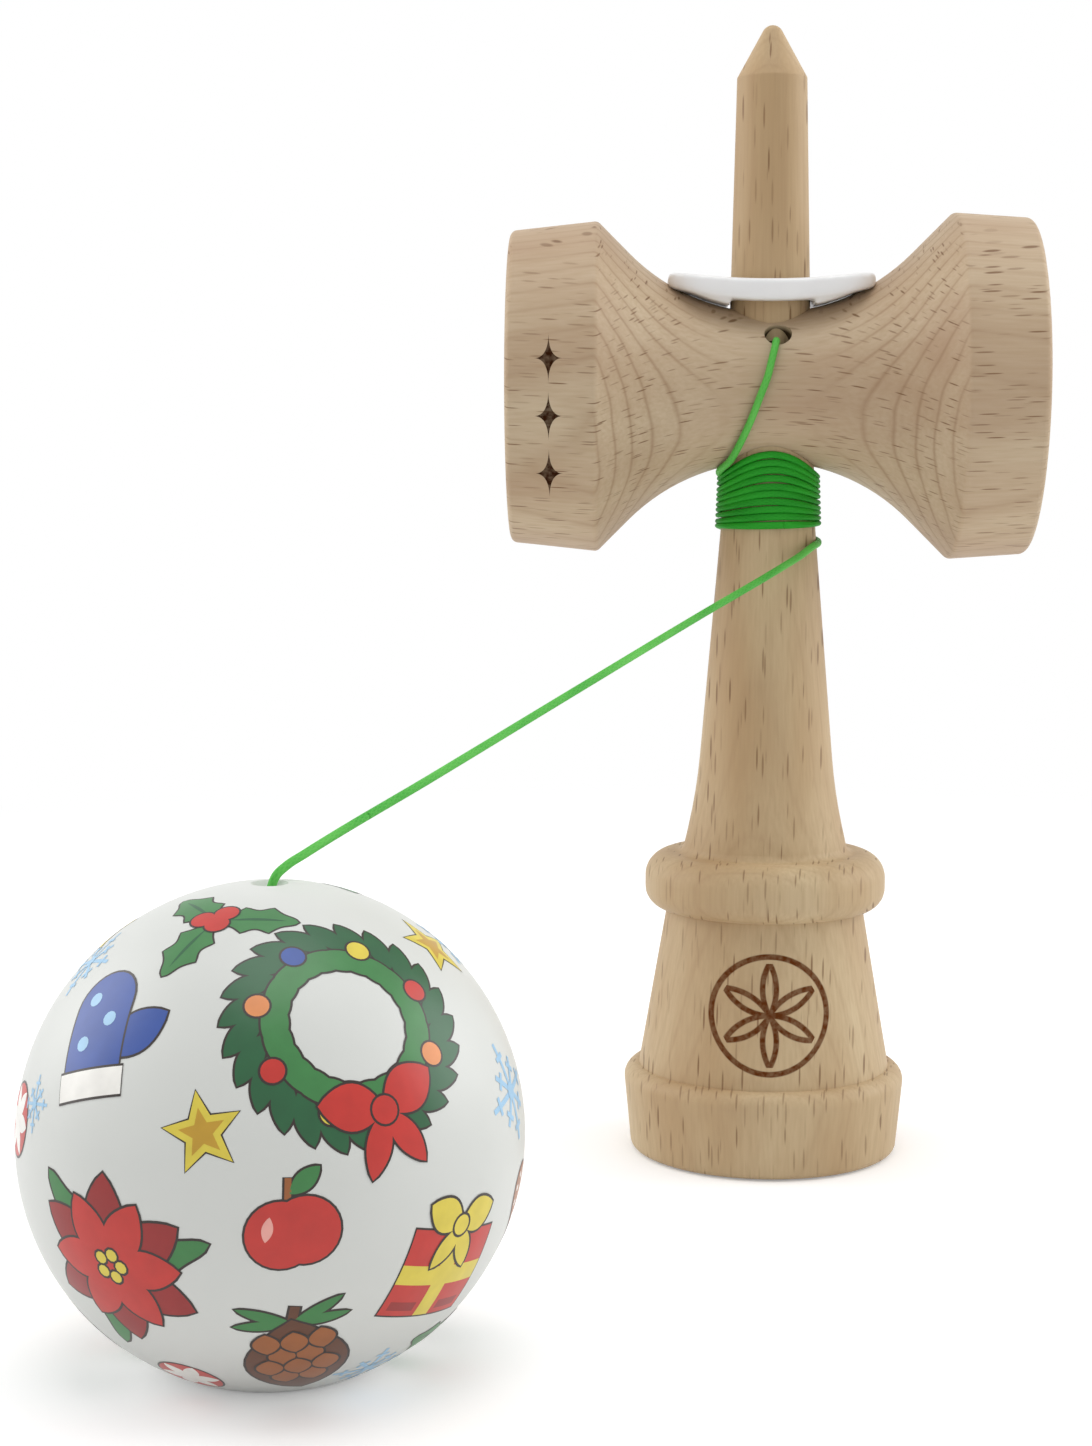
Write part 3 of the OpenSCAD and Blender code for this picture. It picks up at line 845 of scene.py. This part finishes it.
# %% Rounds of the moulding
SADDLE_VOXEL = 0.2
SADDLE_MELT = 56
SADDLE_PASS = 0.5
SADDLE_FATTEN = 0.2
even = saddle.modifiers.new("even", "REMESH")
even.mode = "VOXEL"
even.voxel_size = SADDLE_VOXEL * MM
bpy.ops.object.modifier_apply(modifier=even.name)
melt = saddle.modifiers.new("melt", "SMOOTH")
melt.factor = SADDLE_PASS
melt.iterations = SADDLE_MELT
bpy.ops.object.modifier_apply(modifier=melt.name)
bpy.ops.object.mode_set(mode="EDIT")
bpy.ops.mesh.select_all(action="SELECT")
bpy.ops.transform.shrink_fatten(value=SADDLE_FATTEN * MM)
bpy.ops.object.mode_set(mode="OBJECT")
bpy.ops.object.shade_smooth()
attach(saddle, "saddle")
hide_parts("saddle")
print("saddle faces:", len(saddle.data.polygons))

# %% [markdown]
# ## Moulded plastic
# The saddle is white ABS from a polished mould: bright, glossy, and never quite flat, because
# the melt shrinks a little as it cools. The bead is red polystyrene, mottled where the dye
# wasn't stirred through.

# %% Plastics
SINK_SIZE = 4
MOTTLE_SIZE = 1.7

# ABS: a clean gloss over slow waves
white_abs, add = new_material("white_abs")
sink = add("TexNoise", in_mm(add), Scale=1 / SINK_SIZE, Detail=1)
relief = add("Bump", Height=sink, Strength=0.15, Distance=0.3 * MM)
tint = add("Mix", sink, linear("#f6f6f6"), linear("#eeeeef"), data_type="RGBA")
add("OutputMaterial", add("BsdfPrincipled", tint, Normal=relief, Roughness=0.28))
dress(saddle, white_abs)

# Polystyrene: a harder gloss and an uneven red
red_bead, add = new_material("red_polystyrene")
mottle = add("TexNoise", in_mm(add), Scale=1 / MOTTLE_SIZE, Detail=2)
tint = add("Mix", mottle, linear("#b8362d"), linear("#a52a24"), data_type="RGBA")
add("OutputMaterial", add("BsdfPrincipled", tint, Roughness=0.3))
dress(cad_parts["bead"], red_bead)
print("plastics:", white_abs.name, red_bead.name)

# %% [markdown]
# ## Lacquered ball
# The ball is wood under white gloss lacquer. Lacquer flows out smooth but keeps a faint
# orange peel of about 2 mm, which breaks up its reflections, and it yellows in slow clouds.

# %% Ball lacquer
PEEL_SIZE = 2
CLOUD_SIZE = 17

# Lacquer: a broad soft gloss that the orange peel breaks up
lacquer, add = new_material("white_lacquer")
place = in_mm(add)
peel = add("TexNoise", place, Scale=1 / PEEL_SIZE, Detail=1)
relief = add("Bump", Height=peel, Strength=0.08, Distance=0.2 * MM)
cloud = add("TexNoise", place, Scale=1 / CLOUD_SIZE, Detail=2)
tint = add("Mix", cloud, linear("#dcdeda"), linear("#d3d5d1"), data_type="RGBA")
coat = add("BsdfPrincipled", tint, Normal=relief, Roughness=0.42, Specular_IOR_Level=0.4)
add("OutputMaterial", coat)
dress(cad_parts["ball"], lacquer)
print("ball lacquer:", lacquer.name)

# %% [markdown]
# ## Print on the ball
# The white ball carries a printed winter pattern: a film of ink on the lacquer, with dark
# outlines. The pattern here is a general one of wreaths, mittens, flowers, fruit and gifts.
# Every motif is drawn flat from a few shapes worked out by formulas, in millimetres,
# and is then laid on the ball so that lengths from its middle stay true.

# %% Round shapes of the print


def placed(x, y, outline):
    """Outline moved to a place."""
    return [(x + a, y + b) for a, b in outline]


def disc(x, y, radius, sides=20):
    """Round spot."""
    return placed(x, y, [polar(radius, 360 * k / sides) for k in range(sides)])


LEAF_BELLY = 0.8
LEAF_HOLLOW = 0.35


def leaf(x, y, angle, length, width, spikes=0):
    """Pointed leaf from its foot, with hollows between spikes along its edges."""
    steps = max(12, 8 * spikes)
    c, n = polar(1, angle)
    edge = []
    for k in range(2 * steps):
        t = k / steps if k <= steps else 2 - k / steps
        side = 1 if k <= steps else -1
        hollow = 1 - LEAF_HOLLOW * abs(math.sin(spikes * math.pi * t))
        half = side * width / 2 * math.sin(math.pi * t) ** LEAF_BELLY * hollow
        edge.append((x + length * t * c - half * n, y + length * t * n + half * c))
    return edge[::-1]


def arch(x, y, width, height):
    """Upright form with a round top, from the middle of its foot."""
    r = width / 2
    top = placed(0, height - r, [polar(r, a) for a in np.linspace(0, 180, 15)])
    return placed(x, y, [(-r, 0), (r, 0)] + top)


def heart(x, y, size):
    """Heart about its middle."""
    edge = []
    for k in range(40):
        a = 2 * math.pi * k / 40
        lobe = 13 * math.cos(a) - 5 * math.cos(2 * a) - 2 * math.cos(3 * a) - math.cos(4 * a)
        edge.append((x - size * math.sin(a) ** 3, y + size * lobe / 16))
    return edge


print("points on a leaf:", len(leaf(0, 0, 0, 6, 2)))

# %% [markdown]
# ## Straight shapes
# Stars, bars and boxes need only their corners. Every outline runs anticlockwise, so that
# outwards is always on the right of the way along it.

# %% Straight shapes of the print


def star(x, y, points, outer, inner):
    """Star with a point at its top."""
    reach = (outer, inner) * points
    return placed(x, y, [polar(r, 90 + 180 * k / points) for k, r in enumerate(reach)])


def box(x, y, width, height, angle=0):
    """Rectangle about its middle."""
    c, n = polar(1, angle)
    u, v = width / 2, height / 2
    corners = [(-u, -v), (u, -v), (u, v), (-u, v)]
    return placed(x, y, [(a * c - b * n, a * n + b * c) for a, b in corners])


print("corners of a star:", len(star(0, 0, 5, 5, 2)))

# %% [markdown]
# ## Ink and outline
# A printed motif is coloured areas over a slightly larger dark shape, so a dark line shows
# all round. Each shape gets a layer, and higher layers lie on lower ones.

# %% Outlined shapes
INK_EDGE = 0.25


def grown(outline, by):
    """Outline moved outwards at every corner."""
    moved = []
    for i, here in enumerate(outline):
        before, after = Vector(outline[i - 1]), Vector(outline[(i + 1) % len(outline)])
        way = (after - before).normalized()
        moved.append((here[0] + by * way.y, here[1] - by * way.x))
    return moved


def inked(layer, ink, *outlines):
    """Shapes in one ink on a layer, all with dark edges under them."""
    edges = [("black", layer, grown(outline, INK_EDGE)) for outline in outlines]
    return edges + [(ink, layer + 1, outline) for outline in outlines]


def bow(x, y, size, ink):
    """Ribbon bow with two loops, two tails and a knot."""
    strips = ((-62, 2.4), (-118, 2.4), (22, 4), (158, 4))
    loops = (leaf(x, y, a, 6 * size, w * size) for a, w in strips)
    return inked(6, ink, *loops) + inked(8, ink, disc(x, y, 1.2 * size))


print("shapes in a bow:", len(bow(0, 0, 1, "red")))

# %% [markdown]
# ## Greenery
# A wreath, a sprig of holly, a twig and a cone are all leaves: long or short, smooth or spiked,
# set round a ring, a point or a line.

# %% Greenery


def wreath():
    shapes = []
    for k in range(24):
        a = 15 * k
        for layer, ink, turn in ((0, "deep_green", 55), (2, "green", 125)):
            shapes += inked(layer, ink, leaf(*polar(9, a), a + turn, 6, 2.6))
    for k, ink in enumerate(("red", "yellow", "blue", "orange") * 2):
        shapes += inked(4, ink, disc(*polar(9.6, 45 * k + 10), 1.25))
    return shapes + bow(0, -9.5, 1.2, "red")


def holly():
    shapes = []
    for a in (-20, 105, 215):
        shapes += inked(0, "green", leaf(0, 0, a, 10, 6, 3))
        shapes.append(("deep_green", 2, leaf(*polar(1.5, a), a, 7, 0.5)))
    berries = ((0, -0.6), (1.6, 1.2), (-1.3, 1.4))
    return shapes + inked(4, "red", *(disc(x, y, 1.5) for x, y in berries))


def twig():
    shapes = [("dark_brown", 0, box(0, 0, 0.7, 13))]
    for k in range(7):
        leaves = (leaf(0, 1.6 * k - 5.5, a, 5 - 0.4 * k, 1.3) for a in (48, 132))
        shapes += inked(1, "deep_green", *leaves)
    return shapes


def pine_cone():
    shapes = inked(0, "dark_brown", box(0.2, 6.4, 0.9, 2.4, -15))
    shapes += inked(0, "green", *(leaf(0, 5.6, a, 5.5, 1.2) for a in (-2, 22, 158, 182)))
    shapes += inked(2, "dark_brown", leaf(0, 6, -90, 13.5, 9.5))
    for row, y in enumerate((-3.4, -1.3, 0.8, 2.9)):
        across = (-1.3, 1.3) if row % 2 == 0 else (-2.6, 0, 2.6)
        scales = (leaf(x, y + 1.4, -90, 3, 2.5) for x in across)
        shapes += inked(4 + row % 2 * 2, "brown", *scales)
    return shapes


print("shapes in a wreath:", len(wreath()))

# %% [markdown]
# ## Flower, fruit and sweets
# The red motifs are rounder. A poinsettia has two rings of leaves, an apple is two discs that
# overlap, and the dots of icing on a ginger heart follow a smaller heart.

# %% Flower, fruit and sweets


def poinsettia():
    shapes = inked(0, "green", *(leaf(0, 0, a, 11, 4.6, 2) for a in (15, 135, 255)))
    shapes += inked(2, "dark_red", *(leaf(0, 0, 60 * k + 30, 9, 4.6) for k in range(6)))
    shapes += inked(4, "red", *(leaf(0, 0, 60 * k, 7.4, 4) for k in range(6)))
    dots = (disc(*polar(1.2, 72 * k), 0.62, 10) for k in range(5))
    return shapes + inked(6, "yellow", *dots)


def apple():
    shapes = inked(0, "brown", box(0.3, 4.6, 0.7, 2.6, -12))
    shapes += inked(0, "green", leaf(0.4, 4.2, 30, 4.2, 2))
    shapes += inked(2, "red", *(disc(x, 0, 3.7, 28) for x in (-1.3, 1.3)))
    return shapes + [("pink", 4, leaf(-3, -0.4, 70, 2.8, 1.2))]


def ginger_heart():
    shapes = inked(0, "brown", heart(0, 0, 5.2))
    return shapes + [("white", 2, disc(x, y, 0.38, 10)) for x, y in heart(0, 0.1, 4.1)[::2]]


def mint():
    shapes = inked(0, "red", disc(0, 0, 3.8, 28))
    return shapes + [("white", 2, leaf(0, 0, 60 * k, 3.8, 1.9)) for k in range(6)]


print("shapes in a poinsettia:", len(poinsettia()))

# %% [markdown]
# ## Gift, mitten and stars
# Boxes and arches make the things that people give or wear. The frost stars are thin bars of
# pale ink with no outline, as small motifs in such prints often are.

# %% Gift, mitten and stars


def gift():
    shapes = inked(0, "red", box(0, -1, 11, 9))
    shapes += [("yellow", 2, box(0, -1, 2, 9)), ("yellow", 2, box(0, -1, 11, 2))]
    shapes += [("dark_red", 2, box(x, -4.4, 3.2, 1)) for x in (-3.2, 3.2)]
    return shapes + bow(0, 4, 0.8, "yellow")


def mitten():
    shapes = inked(0, "blue", leaf(2, -2.5, 35, 7, 4.2))
    shapes += inked(2, "blue", arch(0, -4.5, 7, 11))
    shapes += inked(4, "white", box(0, -5, 8, 2.6))
    dots = ((-1.4, 3.6), (1.3, 1.2), (-1.5, -1))
    return shapes + [("pale_blue", 5, disc(x, y, 0.75, 12)) for x, y in dots]


def frost_star():
    shapes = []
    for k in range(4):
        shapes.append(("pale_blue", k % 2, box(0, 0, 11 - 3 * (k % 2), 0.6, 45 * k)))
    for k in range(8):
        twig_at = polar(3.9 - 1.1 * (k % 2), 45 * k)
        shapes.append(("pale_blue", 2, box(*twig_at, 0.55, 2, 45 * k)))
    return shapes + [("pale_blue", 3, disc(0, 0, 1))]


def gold_star():
    shapes = inked(0, "yellow", star(0, 0, 5, 5.4, 2.4))
    return shapes + [("gold", 2, star(0, 0, 5, 3.2, 1.4))]


print("shapes in a gift:", len(gift()))

# %% [markdown]
# ## Cutting the motifs
# A flat shape with only its corners would cut through the ball. Each motif is cut into
# triangles of at most a millimetre, so that it can bend with the ball.

# %% Flat motifs in small triangles
PRINT_EDGE = 1.0


def cut(outline):
    """Corners and triangles of a flat outline, with no long edges."""
    build = bmesh.new()
    build.faces.new([build.verts.new((x, y, 0)) for x, y in outline])
    bmesh.ops.triangulate(build, faces=build.faces[:])
    long_edges = build.edges[:]
    while long_edges:
        long_edges = [e for e in build.edges if e.calc_length() > PRINT_EDGE]
        bmesh.ops.subdivide_edges(build, edges=long_edges, cuts=1)
        bmesh.ops.triangulate(build, faces=build.faces[:])
    build.verts.index_update()
    corners = [v.co.xy for v in build.verts]
    triangles = [[v.index for v in f.verts] for f in build.faces]
    build.free()
    return corners, triangles


MOTIFS = (wreath, holly, twig, pine_cone, poinsettia, apple, ginger_heart, mint, gift, mitten,
          frost_star, gold_star)
drawn = {motif: [(ink, layer, *cut(edge)) for ink, layer, edge in motif()] for motif in MOTIFS}
print("motifs:", len(drawn))

# %% [markdown]
# ## Laying the print on
# Colours lie in thin layers, eight thousandths of a millimetre apart. The list places the
# motifs on half of the ball, by degrees to the right of the front, degrees up, turn and size.
# A second print gives the other half.

# %% Print laid on the ball
BALL_AT = Vector((-63, -95.5, 27.54))
BALL_R = 30
BALL_FRONT = -81.7
PRINT_LIFT = 0.02
LAYER = 0.008
PRINT = [
    (wreath, 21, 37, 12, 1.08), (poinsettia, -38, -16, 0, 1.2), (mitten, -50, 33, 18, 1.2),
    (holly, -30, 66, 40, 0.95), (gift, 43, -20, -12, 1.25), (pine_cone, 6, -41, 8, 1.2),
    (apple, 4, -6, 10, 1.05), (frost_star, 70, 13, 10, 1.1), (gold_star, -15, 15, 14, 0.85),
    (ginger_heart, 82, -15, -15, 1.15), (mint, -77, 8, 0, 1.1), (twig, -77, -42, 35, 1.1),
    (frost_star, 36, -53, 0, 0.9), (gold_star, 76, 50, -20, 0.9), (holly, 72, -48, 70, 0.95),
    (frost_star, -82, 46, 20, 0.9), (mint, -32, -53, 0, 1.0), (frost_star, -66, 14, 10, 0.6),
]
INKS = {
    "black": "#2b201b", "deep_green": "#1d5a34", "green": "#3a7d42",
    "red": "#c2322a", "dark_red": "#94211f", "yellow": "#dcc94a",
    "gold": "#c2982f", "brown": "#9a5a2a", "dark_brown": "#5e351c",
    "blue": "#2f4f9c", "pale_blue": "#9cc7e6", "orange": "#e08d52",
    "pink": "#eaa79c", "white": "#f0eee8",
}


def on_ball(flat, lon, lat, turn, size, height):
    """Point of the ball for a flat point of a motif."""
    across = size * (Matrix.Rotation(math.radians(turn), 2) @ flat)
    bend = across.length / BALL_R
    if bend:
        across.normalize()
    lie = Matrix.Rotation(math.radians(lon), 3, "Z") @ Matrix.Rotation(math.radians(-lat), 3, "Y")
    way = Vector((math.cos(bend), math.sin(bend) * across.x, math.sin(bend) * across.y))
    return (BALL_AT + (BALL_R + height) * (lie @ way)) * MM


inks = list(INKS)
points, faces, ink_of = [], [], []
for half in (0, 180):
    for motif, right, up, turn, size in PRINT:
        for ink, layer, corners, triangles in drawn[motif]:
            first = len(points)
            lie = (BALL_FRONT + right + half, up, turn, size, PRINT_LIFT + LAYER * layer)
            points += [on_ball(c, *lie) for c in corners]
            faces += [[first + k for k in t] for t in triangles]
            ink_of += [inks.index(ink)] * len(triangles)
print("print triangles:", len(faces))

# %% [markdown]
# ## Film of ink
# All the triangles make one mesh, with an ink for each, that turns with the ball.

# %% Film of ink
film = bpy.data.meshes.new("ball_print")
film.from_pydata(points, [], faces)
film.polygons.foreach_set("material_index", ink_of)
film.shade_smooth()
ball_print = bpy.data.objects.new("ball_print", film)
scene.collection.objects.link(ball_print)
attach(ball_print, "ball")
print("film measures", ball_print.dimensions / MM)

# %% [markdown]
# ## Inks
# Screen ink soaks in a little unevenly, so each colour is cloudy at a few millimetres,
# and it lies under the same clear gloss as the lacquer.

# %% Inks
INK_PATCH = 2.5
INK_WEAR = 0.15
for name, code in INKS.items():
    # Screen ink: flat colour with faint clouds
    ink, add = new_material(name + "_ink")
    patch = add("TexNoise", in_mm(add), Scale=1 / INK_PATCH, Detail=2)
    worn = add("MapRange", patch, To_Min=1 - INK_WEAR, To_Max=1 + INK_WEAR)
    tint = add("HueSaturation", Color=linear(code), Value=worn)
    add("OutputMaterial", add("BsdfPrincipled", tint, Roughness=0.35))
    film.materials.append(ink)
print("inks:", len(film.materials))

# %% [markdown]
# ## Floor
# The toy was photographed on white. The floor is white paper that takes the toy's shadow,
# and further away it turns into plain white, but only as the camera sees it, straight or in
# a reflection, so that it throws no more light on the toy than paper does.

# %% Floor
FADE_FROM = 180
FADE_TO = 420
PAPER_LIFT = 0.26
FLOOR_SIZE = 4
FLOOR_DROP = 0.2


def looked_at(add):
    """One for rays that the camera sends, by way of gloss and glass too, and nothing for light."""
    rays_of = add("LightPath").node.outputs
    gloss, glass = rays_of["Is Glossy Ray"], rays_of["Is Transmission Ray"]
    mirrored = add("Math ADD", gloss, glass)
    return add("Math ADD", rays_of["Is Camera Ray"], mirrored, use_clamp=True)


bpy.ops.object.select_all(action="DESELECT")
bpy.ops.mesh.primitive_plane_add(size=FLOOR_SIZE, location=(0, 0, -FLOOR_DROP * MM))
floor = bpy.context.object
floor.name = "floor"

# Paper: matt and white
paper, add = new_material("white_paper")
seen = looked_at(add)
away = add("VectorMath LENGTH", in_mm(add))
fade = add("MapRange", away, FADE_FROM, FADE_TO, interpolation_type="SMOOTHSTEP")
share = add("Math MULTIPLY", fade, seen)
lift = add("Math MULTIPLY", seen, PAPER_LIFT)
sheet = add("BsdfPrincipled", linear("#efefef"), Roughness=0.9)
lit = add("AddShader", sheet, add("Emission", WHITE, lift))
glow = add("Emission", WHITE, 1.0)
add("OutputMaterial", add("MixShader", share, lit, glow))
dress(floor, paper)
print("floor of", paper.name)

# %% [markdown]
# ## World and lamps
# Broad soft light comes from both sides and from above, so the toy's edges are lighter than
# its middle, as in the picture. The world is white to the camera, and the lamps stay at a
# level where a colour comes out about as it is written.

# %% World and lamps
WORLD_LEVEL = 0.6
TOY = Vector((-0.03, -0.04, 0.08))
world = bpy.data.worlds.new("studio")
scene.world = world
world.use_nodes = True
world.node_tree.nodes.clear()
add = partial(add_node, world.node_tree)
sky = add("Background", WHITE, WORLD_LEVEL)
white = add("Background", WHITE, 1.0)
add("OutputWorld", add("MixShader", looked_at(add), sky, white))


def softbox(name, at, size, power):
    """Square area lamp at a place, facing the toy."""
    turn = (TOY - Vector(at)).to_track_quat("-Z", "Y").to_euler()
    bpy.ops.object.light_add(type="AREA", location=at, rotation=turn)
    lamp = bpy.context.object
    lamp.name = name
    lamp.data.size = size
    lamp.data.energy = power
    print(name, power, "W")


softbox("left_box", (-1.0, 0.2, 0.5), 0.8, 4.5)
softbox("right_box", (1.0, 0.2, 0.5), 0.8, 5.3)
softbox("top_box", (0, -0.1, 1.3), 0.9, 5.4)
scene.view_settings.view_transform = "Standard"
